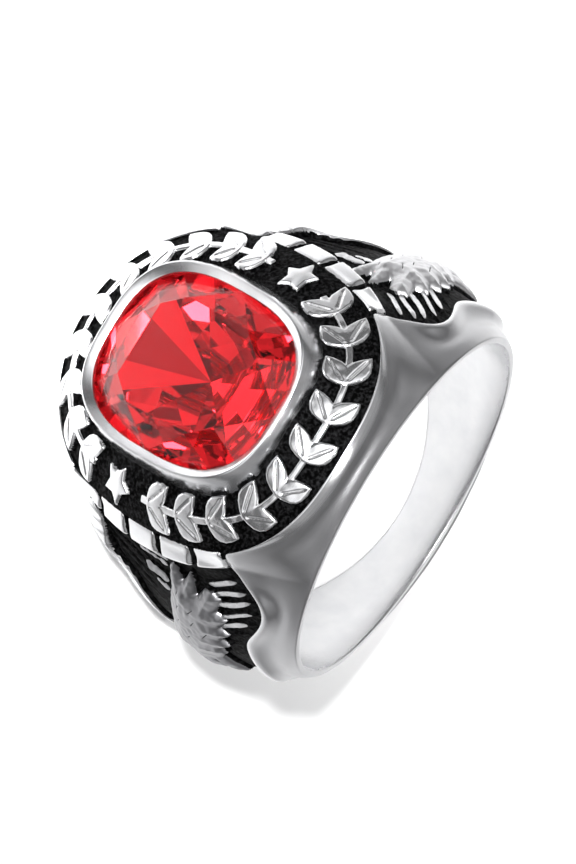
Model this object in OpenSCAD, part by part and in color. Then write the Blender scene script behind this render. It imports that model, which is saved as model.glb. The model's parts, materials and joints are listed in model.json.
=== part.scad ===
// Class ring: one casting with a tapered shank, relief shoulders and a bezel, and its cushion-cut stone.
// The ring is worked out upright round the finger hole, with Y along the finger and Z through the stone.
// It is then laid on its side, which is a plane, with its head towards -Y.

/* [Finger hole and shank] */
// Inner diameter of the finger hole
finger_d = 19.8; // [17:0.1:22]
// Width of the ring across the top of the finger hole
head_w = 20; // [19:0.1:22]
// Width of the shank at its back
back_w = 3.2; // [2.4:0.1:7]
// Wall at the back of the shank
back_t = 1.2; // [0.9:0.05:2]
// Wall at the sides of the shank
side_t = 1.7; // [1.5:0.05:2.4]
// Flat that runs round each rim of the finger hole
rim_flat = 0.35; // [0.2:0.05:0.6]
// Depth of the hollow along each side wall
side_hollow = 0.18; // [0:0.02:0.3]

/* [Head] */
// Height that the frieze's ground would reach over the finger hole under the stone
ground_rise = 5; // [4.6:0.1:5.6]
// Fall of the ground from there to the shoulders
ground_fall_x = 3.95; // [3.5:0.05:4.3]
// Fall of the ground from there to the ring's sides
ground_fall_y = 2.75; // [2:0.05:3]
// Width of the frieze's outline across the finger
frieze_w = 16.7; // [16:0.1:17.6]
// Margin from the frieze's outline to the widest part of the ring
frieze_inset = 0.4; // [0.3:0.05:0.8]
// Height of the polished edge over the frieze's ground
edge_h = 0.22; // [0.1:0.02:0.4]

/* [Bezel and stone] */
// Width of the stone across the finger
stone_w = 9.9; // [9:0.1:10.6]
// Length of the stone along the finger
stone_l = 12.3; // [11:0.1:13]
// Height of the stone over its girdle
crown_h = 1; // [0.6:0.05:1.4]
// Depth of the stone under its girdle
pavilion_h = 3.1; // [2.4:0.1:3.3]
// Thickness of the stone's girdle
girdle_t = 0.25; // [0.15:0.05:0.4]
// Clearance between the stone and its seat
stone_gap = 0.06; // [0.03:0.01:0.12]
// Height of the bezel's ridge over the finger hole
bezel_rise = 4.5; // [4.3:0.05:5.2]
// Width that the bezel's lip laps over the stone
bezel_lap = 0.2; // [0.1:0.02:0.3]
// Width of the bezel's lip, from its inner edge to its ridge
lip_w = 0.5; // [0.35:0.05:0.7]
// Fall of the lip from its ridge to its inner edge
lip_fall = 0.2; // [0.1:0.02:0.35]
// Height of the lip's inner edge over the girdle
lip_over_girdle = 0.35; // [0.2:0.05:0.5]
// Spread of the bezel's outer wall, for each millimetre down
bezel_spread = 0.28; // [0.1:0.02:0.4]

/* [Relief] */
// Height of the cast relief over its ground
relief_h = 0.4; // [0.2:0.02:0.5]
// Depth of the shoulder panels under their margins
panel_depth = 0.35; // [0.2:0.02:0.45]
// Leaf pairs in each of the two sprays
leaf_pairs = 10; // [7:1:11]
// Length of a leaf
leaf_l = 1.65; // [1.1:0.05:1.8]
// Width of a leaf
leaf_w = 0.9; // [0.5:0.02:1]
// Width of a stem
stem_w = 0.34; // [0.2:0.02:0.44]
// Radius of a star's points
star_r = 1; // [0.8:0.05:1.2]
// Blocks in each row
block_count = 5; // [4:1:6]
// Width of a row of blocks
block_w = 1.5; // [1:0.05:1.6]
// Rise of a block's outer edge over the slope that it stands on
block_crest = 0.6; // [0:0.05:0.8]
// Gap between blocks
block_gap = 0.12; // [0.1:0.02:0.25]
// Pairs of ribs on each shoulder
rib_count = 11; // [8:1:11]
// Width of a rib
rib_w = 0.4; // [0.3:0.02:0.5]
// Distance from a rib to the next
rib_pitch = 0.84; // [0.75:0.01:0.9]
// Rise of a rib towards the head, for each millimetre outwards
rib_rise = 0.56; // [0.4:0.02:0.7]

/* [Hidden] */
$fn = 96;
steel = [0.78, 0.78, 0.79];
red_glass = [0.75, 0.03, 0.06];

finger_r = finger_d / 2;
taper = (head_w - back_w) / 2 / finger_d;
tilt = atan(taper);
// The shank's wall runs this far inside the hole before the hole is cut
bore_stock = 0.5;
// Side wall: where its two inner points lie between the edge and the rim, and its swell under the edge
side_points = [0.2, 0.6];
edge_swell = 0.1;
// Run of the step from a margin down to the ground
step_run = 0.08;
// Slope round the top of a block
block_slope = 0.12;
// Room between a rib's end and the panel's edge
rib_end_gap = 0.3;
// Distance of the first rib's line from the panel's top, along the panel's middle
rib_first = 2.9;
// The stone's ledge: its width, and its depth under the girdle
seat_ledge = 0.12;
seat_step = 0.15;
// Relief stands this deep in its ground, and its top is this share of its foot's width
relief_foot = 0.3;
relief_top = 0.55;

// Outlines seen from above: half width, half length and squareness
frieze = [frieze_w / 2, head_w / 2 - frieze_inset, 2.3];
window = [stone_w / 2 - bezel_lap, stone_l / 2 - bezel_lap, 2.8];
girdle = [stone_w / 2, stone_l / 2, 2.8];

// Heights over the finger's axis
ridge_z = finger_r + bezel_rise;
girdle_top_z = ridge_z - lip_fall - lip_over_girdle;
girdle_low_z = girdle_top_z - girdle_t;
bezel_low_z = finger_r + ground_rise - ground_fall_x * 0.75;

// The frieze's corner, where its side edge ends and the row of blocks begins
corner_share = 0.857;

// Shoulder and shank sections, from the frieze's corner round to the back of the ring.
// Walls are shares of the side wall, the head's wall and the back's wall, added up.
// half = share of the half width at the rim. pocket and hollow = shares of the panel's depth and side hollow.
// Columns: angle from the stone, the edge wall's three shares, the middle wall's three, half, pocket, hollow
ANGLE = 0;
EDGE = 1;
MIDDLE = 4;
HALF = 7;
POCKET = 8;
HOLLOW = 9;
SHOULDER = [
    [38, 0.25, 0.58, 0, 0.22, 0.74, 0, 0.585, 0.9, 0.9],
    [40.5, 0.4, 0.4, 0, 0.26, 0.66, 0, 0.63, 0.9, 0.9],
    [43.5, 0.55, 0.24, 0, 0.32, 0.53, 0, 0.66, 1, 0.9],
    [46, 0.64, 0.13, 0, 0.5, 0.27, 0, 0.7, 1, 0.8],
    [49.5, 0.71, 0.05, 0, 0.66, 0.1, 0, 0.765, 1, 0.7],
    [53, 0.74, 0.01, 0, 0.7, 0.02, 0, 0.785, 1, 0.6],
    [57, 0.72, 0, 0, 0.69, 0, 0, 0.772, 1, 0.6],
    [62, 0.71, 0, 0, 0.68, 0, 0, 0.72, 1, 0.6],
    [66.5, 0.72, 0, 0, 0.69, 0, 0, 0.65, 1, 0.6],
    [70, 0.74, 0, 0, 0.71, 0, 0, 0.61, 1, 0.5],
    [75, 0.77, 0, 0, 0.74, 0, 0, 0.61, 1, 0.4],
    [81, 0.81, 0, 0, 0.78, 0, 0, 0.635, 1, 0.3],
    [88, 0.84, 0, 0, 0.81, 0, 0, 0.675, 1, 0.2],
    [95, 0.84, 0, 0, 0.82, 0, 0, 0.68, 1, 0.1],
    [100, 0.82, 0, 0, 0.83, 0, 0, 0.65, 1, 0],
    [104, 0.8, 0, 0, 0.83, 0, 0, 0.6, 1, 0],
    [105, 0.79, 0, 0, 0.9, 0, 0, 0.6, 0, 0],
    [118, 0.55, 0, 0.25, 0.7, 0, 0.2, 0.6, 0, 0],
    [134, 0.3, 0, 0.55, 0.4, 0, 0.5, 0.6, 0, 0],
    [150, 0.12, 0, 0.76, 0.2, 0, 0.76, 0.6, 0, 0],
    [165, 0, 0, 0.88, 0, 0, 1, 0.6, 0, 0],
    [180, 0, 0, 0.88, 0, 0, 1, 0.6, 0, 0]
];
// The panel runs between these two rows' angles
PANEL = [SHOULDER[2][ANGLE], SHOULDER[15][ANGLE]];

// Feathers of the eagle: its right wing from the top down, its left wing, then its tail.
// Along and across are shares of the panel's length and of its widest half, width a share of that half.
// Columns: root along, root across, tip along, tip across, width, height
FEATHERS = [
    [0.44, 0.07, 0.09, 0.12, 0.16, 1.2],
    [0.45, 0.11, 0.05, 0.35, 0.17, 1.25],
    [0.47, 0.14, 0.14, 0.42, 0.15, 1.15],
    [0.49, 0.15, 0.23, 0.5, 0.15, 1.15],
    [0.51, 0.15, 0.33, 0.53, 0.15, 1.1],
    [0.53, 0.14, 0.48, 0.44, 0.15, 1.1],
    [0.57, 0.11, 0.6, 0.34, 0.15, 1],
    [0.46, -0.05, 0.62, -0.31, 0.15, 1.1],
    [0.51, -0.06, 0.69, -0.36, 0.15, 1.05],
    [0.56, -0.06, 0.76, -0.33, 0.14, 1],
    [0.66, -0.03, 0.91, -0.18, 0.13, 1],
    [0.66, 0, 0.94, -0.06, 0.13, 1],
    [0.66, 0, 0.94, 0.06, 0.13, 1],
    [0.66, 0.03, 0.91, 0.18, 0.13, 1]
];
// The eagle's body: along the panel, across it, half width, height
BODY = [
    [0.2, 0.06, 0.05, 1.1],
    [0.32, 0.03, 0.12, 1.4],
    [0.46, 0.01, 0.19, 1.6],
    [0.6, 0, 0.17, 1.5],
    [0.74, 0, 0.1, 1.2]
];

function lerp(a, b, t) = a + (b - a) * t;

// Point of an outline in a direction, grown by a width
function outline(shape, turn, grow = 0) =
    let (
        share_x = pow(abs(cos(turn)) / (shape.x + grow), shape.z),
        share_y = pow(abs(sin(turn)) / (shape.y + grow), shape.z)
    ) pow(share_x + share_y, -1 / shape.z) * [cos(turn), sin(turn)];

// Half width of the ring, in the plane of its side, at a height over the finger's axis
function side_half(z) = (head_w + back_w) / 4 + taper * z;

// Height of the frieze's ground over the finger's axis
function head_z(x, y) =
    finger_r + ground_rise - ground_fall_x * pow(x / frieze.x, 2) - ground_fall_y * pow(y / frieze.y, 2);

// Distance of that ground from the finger's axis, at an angle round it
function head_ground(angle, y) =
    let (
        peak = finger_r + ground_rise - ground_fall_y * pow(y / frieze.y, 2),
        bend = ground_fall_x * pow(sin(angle) / frieze.x, 2),
        c = cos(angle)
    ) bend < 1e-6 ? peak / c : (sqrt(c * c + 4 * bend * peak) - c) / (2 * bend);

function frieze_edge(x) =
    let (y = frieze.y * pow(1 - pow(x / frieze.x, frieze.z), 1 / frieze.z)) [x, y, head_z(x, y)];

corner = frieze_edge(corner_share * frieze.x);
corner_angle = atan(corner.x / corner.z);
corner_wall = norm([corner.x, corner.z]) + edge_h - finger_r;
middle_wall = head_ground(corner_angle, 0) - finger_r;

// A section is: angle, radius of the edge, radius of the ground's middle and of its edge, half width, hollow
function head_section(share) =
    let (
        e = frieze_edge(share * corner.x),
        angle = atan(e.x / e.z),
        r = norm([e.x, e.z])
    ) [angle, r + edge_h, head_ground(angle, 0), r, e.y, side_hollow];

function wall(row, column, head) = row[column] * side_t + row[column + 1] * head + row[column + 2] * back_t;

function shoulder_section(row) =
    let (
        edge = finger_r + wall(row, EDGE, corner_wall),
        middle = finger_r + wall(row, MIDDLE, middle_wall),
        half = row[HALF] * side_half(finger_r * cos(row[ANGLE]))
    ) [row[ANGLE], edge, middle, edge - row[POCKET] * panel_depth, half, row[HOLLOW] * side_hollow];

HALF_RING = concat(
    [for (share = [0, 0.25, 0.5, 0.72, 0.88, 1]) head_section(share)],
    [for (row = SHOULDER) shoulder_section(row)]
);
HEAD_ROWS = 6;

// The ground's distance from the axis, in the head from its own formula and elsewhere from the sections
function section_value(angle, column) = lookup(abs(angle), [for (s = HALF_RING) [s[0], s[column]]]);
function shoulder_ground(angle, y) =
    let (
        middle = section_value(angle, 2),
        edge = section_value(angle, 3),
        half = section_value(angle, 4)
    ) middle - (middle - edge) * pow(y / half, 2);

function in_section(angle, r, y) = [r * sin(angle), y, r * cos(angle)];
function on_head(p, lift) = [p.x, p.y, head_z(p.x, p.y) + lift];
function on_shoulder(p, lift) = in_section(p.x, shoulder_ground(p.x, p.y) + lift, p.y);

// Half of a section's outline as [radius, y], from the finger hole to the middle of the ground
function half_outline(s, in_head) =
    let (
        angle = s[0],
        stock_r = finger_r - bore_stock,
        flat_r = finger_r + rim_flat,
        flat = [flat_r, side_half(flat_r * cos(angle))],
        edge = [s[1], s[4]],
        swell = lerp(edge, flat, side_points[0]) + [edge_swell, 0],
        way = (flat - edge) / norm(flat - edge),
        hollow = lerp(edge, flat, side_points[1]) - s[5] * [way.y, -way.x],
        pocket_y = s[4] - step_run
    ) concat(
        [[stock_r, side_half(stock_r * cos(angle))], flat, hollow, swell, edge],
        [for (share = [1, 0.75, 0.5, 0.25])
            let (
                y = pocket_y * share,
                r = in_head ? head_ground(angle, y) : lerp(s[2], s[3], share * share)
            ) [r, y]]
    );

function full_outline(s, in_head) =
    let (half = half_outline(s, in_head)) concat(
        [for (p = half) [p.x, p.y]],
        [[s[2], 0]],
        [for (i = [len(half) - 1:-1:0]) [half[i].x, -half[i].y]]
    );

// Closed ring of sections, each the same number of points
module looped_loft(sections) {
    rows = len(sections);
    n = len(sections[0]);
    polyhedron(
        points = [for (s = sections) each s],
        faces = [
            for (i = [0:rows - 1], j = [0:n - 1])
                let (
                    a = i * n + j,
                    b = i * n + (j + 1) % n,
                    c = (i + 1) % rows * n + j,
                    d = (i + 1) % rows * n + (j + 1) % n
                ) each [[a, d, b], [a, c, d]]
        ],
        convexity = 6
    );
}

// Closed solid between rings of points, with flat or fanned ends
module capped_loft(rings) {
    rows = len(rings);
    n = len(rings[0]);
    polyhedron(
        points = [for (r = rings) each r],
        faces = concat(
            [for (i = [0:rows - 2], j = [0:n - 1])
                let (
                    a = i * n + j,
                    b = i * n + (j + 1) % n,
                    c = (i + 1) * n + j,
                    d = (i + 1) * n + (j + 1) % n
                ) each [[a, c, d], [a, d, b]]],
            [for (j = [1:n - 2]) [0, j, j + 1]],
            [for (j = [1:n - 2]) [(rows - 1) * n, (rows - 1) * n + j + 1, (rows - 1) * n + j]]
        ),
        convexity = 4
    );
}

// Shank, shoulders and the ground of the head, with the finger hole still small
module band() {
    half = [for (i = [0:len(HALF_RING) - 1])
        let (s = HALF_RING[i]) [for (p = full_outline(s, i < HEAD_ROWS)) in_section(s[0], p.x, p.y)]];
    other = [for (i = [len(half) - 2:-1:1]) [for (p = half[i]) [-p.x, p.y, p.z]]];
    looped_loft(concat(half, other));
}

// Wall that holds the stone
module bezel() {
    turns = [for (i = [0:47]) 7.5 * i];
    deep = ridge_z - bezel_low_z;
    function ring(grow, z) = [for (t = turns) let (p = outline(window, t, grow)) [p.x, p.y, z]];
    looped_loft([
        ring(lip_w + bezel_spread * deep, bezel_low_z),
        ring(lip_w, ridge_z),
        ring(0, ridge_z - lip_fall),
        ring(0, bezel_low_z)
    ]);
}

// Raised stroke on a surface: a path of places, with a half width and a height at each
module stroke(path, halves, heights, on_head_surface) {
    count = len(path);
    function place(p, lift) = on_head_surface ? on_head(p, lift) : on_shoulder(p, lift);
    // Degrees on the shoulder are turned to millimetres before a direction is taken
    function scaled(p) = on_head_surface ? p : [p.x * PI / 180 * (finger_r + side_t), p.y];
    function unscaled(p) = on_head_surface ? p : [p.x * 180 / PI / (finger_r + side_t), p.y];
    rings = [for (i = [0:count - 1])
        let (
            way = scaled(path[min(i + 1, count - 1)]) - scaled(path[max(i - 1, 0)]),
            across = [-way.y, way.x] / norm(way),
            left = scaled(path[i]) + across * halves[i],
            right = scaled(path[i]) - across * halves[i],
            left_top = lerp(scaled(path[i]), left, relief_top),
            right_top = lerp(scaled(path[i]), right, relief_top)
        ) [
            place(unscaled(left), -relief_foot),
            place(unscaled(left_top), heights[i]),
            place(unscaled(right_top), heights[i]),
            place(unscaled(right), -relief_foot)
        ]];
    capped_loft(rings);
}

// Leaf from its root to its tip
module leaf(root, tip, width, height, on_head_surface) {
    shares = [0, 0.3, 0.62, 1];
    halves = [0.35, 0.95, 0.85, 0.12] * width / 2;
    heights = [0.75, 1, 1, 0.5] * height;
    stroke([for (t = shares) lerp(root, tip, t)], halves, heights, on_head_surface);
}

// The bezel's foot, where its outer wall meets the ground
ridge = [window.x + lip_w, window.y + lip_w];
bezel_foot = [
    ridge.x + bezel_spread * (ridge_z - head_z(ridge.x, 0)),
    ridge.y + bezel_spread * (ridge_z - head_z(0, ridge.y)),
    window.z
];

// Place on the frieze: a direction from the stone, and a share of the way from the bezel to the edge
function frieze_place(turn, share) = lerp(outline(bezel_foot, turn), outline(frieze, turn), share);

star_turns = [-14, 169];
// Turn kept clear on each side of a star
star_room = 15;
// The wreath's line: its share of the way from the bezel to the edge
stem_share = 0.52;
// Shares that a leaf pair points at, and how far ahead, as a share of the pitch
leaf_goals = [0.04, 0.96];
leaf_lead = 0.75;
first_leaf = 0.3;

// One spray of leaf pairs
module spray(first_turn, last_turn) {
    pitch = (last_turn - first_turn) / leaf_pairs;
    steps = 2 * leaf_pairs;
    stem = [for (i = [0:steps]) frieze_place(lerp(first_turn, last_turn, i / steps), stem_share)];
    stroke(stem, [for (i = [0:steps]) stem_w / 2], [for (i = [0:steps]) relief_h * 0.7], true);
    for (k = [0:leaf_pairs - 1]) {
        turn = first_turn + pitch * (k + first_leaf);
        root = frieze_place(turn, stem_share);
        for (goal = leaf_goals) {
            aim = frieze_place(turn + pitch * leaf_lead, goal);
            tip = root + leaf_l * (aim - root) / norm(aim - root);
            leaf(root, tip, leaf_w, relief_h, true);
        }
    }
}

// Five-pointed star with a raised middle
module star(turn) {
    middle = frieze_place(turn, stem_share);
    inner_r = star_r * 0.46;
    function corner_at(i, grow) =
        let (
            r = (i % 2 == 0 ? star_r : inner_r) * grow,
            a = turn + 36 * i
        ) middle + r * [cos(a), sin(a)];
    low = [for (i = [0:9]) on_head(corner_at(i, 1), -relief_foot)];
    high = [for (i = [0:9]) on_head(corner_at(i, 0.9), relief_h * 0.75)];
    peak = [for (i = [0:9]) on_head(corner_at(i, 0.1), relief_h)];
    capped_loft([low, high, peak]);
}

// Row of blocks between the frieze and a shoulder panel
module block_row() {
    half_span = corner.y - block_gap;
    pitch = 2 * half_span / block_count;
    degrees = 180 / PI / (finger_r + middle_wall);
    function inner_angle(y) =
        let (
            x = frieze.x * pow(1 - pow(abs(y) / frieze.y, frieze.z), 1 / frieze.z)
        ) atan(x / head_z(x, y));
    function ring(y, slope, lift, crest) =
        let (
            first = inner_angle(y) + (block_gap + slope) * degrees,
            last = inner_angle(y) + (block_w - slope) * degrees
        ) [on_shoulder([first, y], lift), on_shoulder([last, y], lift + crest)];
    for (k = [0:block_count - 1]) {
        y0 = -half_span + pitch * k + block_gap / 2;
        y1 = y0 + pitch - block_gap;
        tops = [for (y = [y0 + block_slope, y1 - block_slope]) ring(y, block_slope, relief_h, block_crest)];
        lows = [for (y = [y0, y1]) ring(y, 0, -relief_foot, 0)];
        capped_loft([
            [lows[0][0], lows[0][1], lows[1][1], lows[1][0]],
            [tops[0][0], tops[0][1], tops[1][1], tops[1][0]]
        ]);
    }
}

panel_half = max([for (s = HALF_RING) if (s[0] > corner_angle + 5) s[4]]);
panel_degrees = 180 / PI / (finger_r + side_t);
function panel_place(along, across) = [lerp(PANEL[0], PANEL[1], along), across * panel_half];

// Ribs that rise outwards across a shoulder panel, behind the eagle
module ribs() {
    first = PANEL[0] + rib_first * panel_degrees;
    slant = rib_rise * panel_degrees;
    for (k = [0:rib_count - 1]) {
        angle = first + k * rib_pitch * panel_degrees;
        start = max(rib_w, (angle - PANEL[1]) / slant + rib_w);
        half = section_value(angle, 4);
        end = section_value(angle - half * slant, 4) - rib_end_gap;
        for (side = [-1, 1]) {
            path = [for (t = [0, 0.5, 1]) let (y = lerp(start, end, t)) [angle - y * slant, side * y]];
            stroke(path, [for (p = path) rib_w / 2], [for (p = path) relief_h * 0.6], false);
        }
    }
}

// Eagle with a raised wing and a tail, over the ribs
module eagle() {
    for (f = FEATHERS)
        leaf(panel_place(f[0], f[1]), panel_place(f[2], f[3]), f[4] * panel_half, f[5] * relief_h, false);
    stroke(
        [for (b = BODY) panel_place(b[0], b[1])],
        [for (b = BODY) b[2] * panel_half],
        [for (b = BODY) b[3] * relief_h],
        false
    );
}

// Room for the stone: a groove for its girdle, and a bowl under it
module stone_seat() {
    turns = [for (i = [0:47]) 7.5 * i];
    low_z = girdle_low_z - pavilion_h - stone_gap;
    step_z = girdle_low_z - seat_step;
    function ring(shape, grow, z) = [for (t = turns) let (p = outline(shape, t, grow)) [p.x, p.y, z]];
    function bowl(share, z) = [for (t = turns) let (p = outline(girdle, t) * share) [p.x, p.y, z]];
    capped_loft([
        bowl(0.3, low_z),
        bowl(0.75, lerp(girdle_low_z, low_z, 0.5)),
        ring(girdle, -seat_ledge, step_z),
        ring(girdle, stone_gap, step_z),
        ring(girdle, stone_gap, girdle_top_z + stone_gap),
        ring(window, 0, girdle_top_z + stone_gap),
        ring(window, 0, ridge_z + crown_h)
    ]);
}

module finger_hole() {
    rotate([90, 0, 0])
        cylinder(h = 2 * head_w, r = finger_r, center = true);
}

// Distance of a facet from the middle, so that it just meets the girdle's outline
function reach(shape, turn) =
    let (dual = shape.z / (shape.z - 1)) pow(
        pow(abs(shape.x * cos(turn)), dual) + pow(abs(shape.y * sin(turn)), dual),
        1 / dual
    );

// Everything outside a pavilion facet, which runs from the girdle down to a depth under it
module pavilion_facet(turn, depth) {
    size = 4 * stone_l;
    start = reach(girdle, turn);
    slope = atan(depth / start);
    translate([0, 0, girdle_low_z])
        rotate([0, 0, turn])
            translate([start, 0, 0])
                rotate([0, 90 - slope, 0])
                    translate([0, -size / 2, -size / 2])
                        cube(size);
}

// Everything above the plane through three points
module crown_facet(a, b, c) {
    size = 4 * stone_l;
    normal = cross(b - a, c - a);
    up = normal / norm(normal) * sign(normal.z);
    translate(a)
        rotate([0, acos(up.z), atan2(up.y, up.x)])
            translate([-size / 2, -size / 2, 0])
                cube(size);
}

// Points of the cut as shares of the girdle's half width and half length.
// Table and girdle each have a corner on the long and on the short side, and a side has its middle.
TABLE_LONG = [0.634, 0.354];
TABLE_SHORT = [0.428, 0.584];
GIRDLE_LONG = [0.785, 0.609];
GIRDLE_SHORT = [0.59, 0.824];
SIDE_LONG = [0.97, 0];
SIDE_SHORT = [0, 0.976];
// Height of the lower points over the girdle, as a share of the crown's height
foot_share = 0.15;
// Turn of a side's outer pavilion facets from its middle one, and how much deeper they aim
flank_turn = 24;
flank_drop = 0.06;

module cut_stone() {
    table_z = girdle_top_z + crown_h;
    foot_z = girdle_top_z + crown_h * foot_share;
    function at_table(share, x, y) = [share.x * girdle.x * x, share.y * girdle.y * y, table_z];
    function at_foot(share, x, y) = [share.x * girdle.x * x, share.y * girdle.y * y, foot_z];
    difference() {
        translate([0, 0, girdle_low_z - pavilion_h])
            linear_extrude(height = pavilion_h + girdle_t + crown_h)
                polygon([for (i = [0:63]) outline(girdle, 360 * i / 64)]);
        for (x = [-1, 1], y = [-1, 1]) {
            long_foot = at_foot(GIRDLE_LONG, x, y);
            short_foot = at_foot(GIRDLE_SHORT, x, y);
            crown_facet(at_table(TABLE_LONG, x, y), long_foot, short_foot);
            crown_facet(at_table(TABLE_LONG, x, y), long_foot, at_foot(SIDE_LONG, x, y));
            crown_facet(at_table(TABLE_SHORT, x, y), short_foot, at_foot(SIDE_SHORT, x, y));
        }
        for (s = [-1, 1]) {
            crown_facet(at_table(TABLE_LONG, s, 1), at_table(TABLE_LONG, s, -1), at_foot(SIDE_LONG, s, 1));
            crown_facet(at_table(TABLE_SHORT, 1, s), at_table(TABLE_SHORT, -1, s), at_foot(SIDE_SHORT, 1, s));
        }
        for (quarter = [0:90:270]) {
            pavilion_facet(quarter, pavilion_h);
            for (off = [-flank_turn, flank_turn])
                pavilion_facet(quarter + off, pavilion_h + flank_drop);
        }
    }
}

// Lays the upright ring on its -Y side, with the middle of its box's foot at the origin
module lay_down() {
    back_r = finger_r + back_t;
    front = -(window.y + lip_w) * sin(tilt) - ridge_z * cos(tilt);
    rear = side_half(-back_r) * sin(tilt) + back_r * cos(tilt);
    translate([0, -(front + rear) / 2, side_half(0) * cos(tilt)])
        rotate([90 - tilt, 0, 0])
            children();
}

module ring_body() {
    color(steel)
        lay_down()
            difference() {
                union() {
                    band();
                    bezel();
                    for (turn = star_turns)
                        star(turn);
                    spray(star_turns[0] + star_room, star_turns[1] - star_room);
                    spray(star_turns[1] + star_room, star_turns[0] + 360 - star_room);
                    for (side = [0, 1])
                        mirror([side, 0, 0]) {
                            block_row();
                            ribs();
                            eagle();
                        }
                }
                finger_hole();
                stone_seat();
            }
}

module stone() {
    color(red_glass)
        lay_down()
            cut_stone();
}

ring_body();
stone();
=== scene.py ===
"""A class ring with its finish: the steel casting and its relief, the bezel and the red stone."""
import json
import math

import bmesh
import bpy
import numpy as np
from mathutils import Matrix, Vector


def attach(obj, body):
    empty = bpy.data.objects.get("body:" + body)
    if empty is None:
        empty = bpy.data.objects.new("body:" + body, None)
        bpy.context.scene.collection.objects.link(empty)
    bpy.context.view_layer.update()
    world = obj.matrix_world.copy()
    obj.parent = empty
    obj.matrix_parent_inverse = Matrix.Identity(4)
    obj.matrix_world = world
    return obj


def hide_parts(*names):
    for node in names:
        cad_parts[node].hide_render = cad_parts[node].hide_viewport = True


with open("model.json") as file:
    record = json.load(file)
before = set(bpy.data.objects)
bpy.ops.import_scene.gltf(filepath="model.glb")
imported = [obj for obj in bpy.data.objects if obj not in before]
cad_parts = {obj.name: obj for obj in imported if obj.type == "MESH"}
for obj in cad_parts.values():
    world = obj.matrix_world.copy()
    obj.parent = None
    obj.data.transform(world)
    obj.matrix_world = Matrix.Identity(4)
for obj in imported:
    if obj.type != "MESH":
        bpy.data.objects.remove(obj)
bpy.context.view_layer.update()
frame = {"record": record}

MM = 0.001
BODY = "root"

# The ring is worked out upright in millimetres, with Y along the finger and Z through the stone.
# Then it is laid on its side, round the middle of the finger hole.
hole = next(m for m in frame["record"]["mounts"] if m["name"] == "finger_hole")
HOLE_CENTRE = np.array(hole["pos_m"]) / MM
FINGER_R = hole["dims"]["r_mm"]
LAY_COS, LAY_SIN = hole["axis"][1], hole["axis"][2]
TAPER = LAY_COS / LAY_SIN


def lay_down(points):
    """Upright millimetres to metres in the row frame."""
    x, y, z = np.asarray(points, dtype=float).T
    laid = np.stack([x, y * LAY_COS - z * LAY_SIN, y * LAY_SIN + z * LAY_COS], axis=1)
    return (laid + HOLE_CENTRE) * MM


# Sizes in millimetres, as in the part. An outline is a half width, a half length and a power.
HEAD_W, BACK_W, BACK_T, SIDE_T, RIM_FLAT = 20.0, 3.2, 1.2, 1.7, 0.35
GROUND_RISE, FALL_X, FALL_Y = 5.0, 3.95, 2.75
FRIEZE = (8.35, 9.6, 2.3)
# The wreath's band ends inside the frieze, where the blocks begin
BAND = (8.02, 9.6, 2.3)
WINDOW = (4.75, 5.95, 2.8)
GIRDLE = (4.95, 6.15, 2.8)
EDGE_H, PANEL_DEPTH = 0.22, 0.35
RIDGE_Z = FINGER_R + 4.5
LIP_W, LIP_FALL, BEZEL_SPREAD = 0.5, 0.2, 0.28
GIRDLE_TOP_Z = RIDGE_Z - LIP_FALL - 0.35
GIRDLE_LOW_Z = GIRDLE_TOP_Z - 0.25
CROWN_H, PAVILION_H = 1.0, 3.1

# Angle from the stone, edge wall as shares of the side, head and back walls, middle wall, half width, pocket
SHOULDER = np.array([
    [38, 0.25, 0.58, 0, 0.22, 0.74, 0, 0.585, 0.9],
    [40.5, 0.4, 0.4, 0, 0.26, 0.66, 0, 0.63, 0.9],
    [43.5, 0.55, 0.24, 0, 0.32, 0.53, 0, 0.66, 1],
    [46, 0.64, 0.13, 0, 0.5, 0.27, 0, 0.7, 1],
    [49.5, 0.71, 0.05, 0, 0.66, 0.1, 0, 0.765, 1],
    [53, 0.74, 0.01, 0, 0.7, 0.02, 0, 0.785, 1],
    [57, 0.72, 0, 0, 0.69, 0, 0, 0.772, 1],
    [62, 0.71, 0, 0, 0.68, 0, 0, 0.72, 1],
    [66.5, 0.72, 0, 0, 0.69, 0, 0, 0.65, 1],
    [70, 0.74, 0, 0, 0.71, 0, 0, 0.61, 1],
    [75, 0.77, 0, 0, 0.74, 0, 0, 0.61, 1],
    [81, 0.81, 0, 0, 0.78, 0, 0, 0.635, 1],
    [88, 0.84, 0, 0, 0.81, 0, 0, 0.675, 1],
    [95, 0.84, 0, 0, 0.82, 0, 0, 0.68, 1],
    [100, 0.82, 0, 0, 0.83, 0, 0, 0.65, 1],
    [104, 0.8, 0, 0, 0.83, 0, 0, 0.6, 1],
    [108, 0.75, 0, 0.05, 0.85, 0, 0.04, 0.6, 1],
    [118, 0.55, 0, 0.25, 0.7, 0, 0.2, 0.6, 1],
    [134, 0.3, 0, 0.55, 0.4, 0, 0.5, 0.6, 1],
    [150, 0.12, 0, 0.76, 0.2, 0, 0.76, 0.6, 1],
    [165, 0, 0, 0.88, 0, 0, 1, 0.6, 1],
    [180, 0, 0, 0.88, 0, 0, 1, 0.6, 1],
])
PANEL_START = 43.5
POCKET_CLOSES, POCKET_ENDS = 93.0, 104.2


def head_z(x, y):
    """Height of the frieze's ground."""
    return FINGER_R + GROUND_RISE - FALL_X * (x / FRIEZE[0]) ** 2 - FALL_Y * (y / FRIEZE[1]) ** 2


def head_ground(angle, y):
    """Distance of the frieze's ground from the finger's axis."""
    peak = FINGER_R + GROUND_RISE - FALL_Y * (y / FRIEZE[1]) ** 2
    bend = np.maximum(FALL_X * (np.sin(angle) / FRIEZE[0]) ** 2, 1e-9)
    c = np.cos(angle)
    return (np.sqrt(c * c + 4 * bend * peak) - c) / (2 * bend)


def side_half(z):
    """Half of the ring's width along the finger, at a height through the stone."""
    return (HEAD_W + BACK_W) / 4 + TAPER * z


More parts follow.
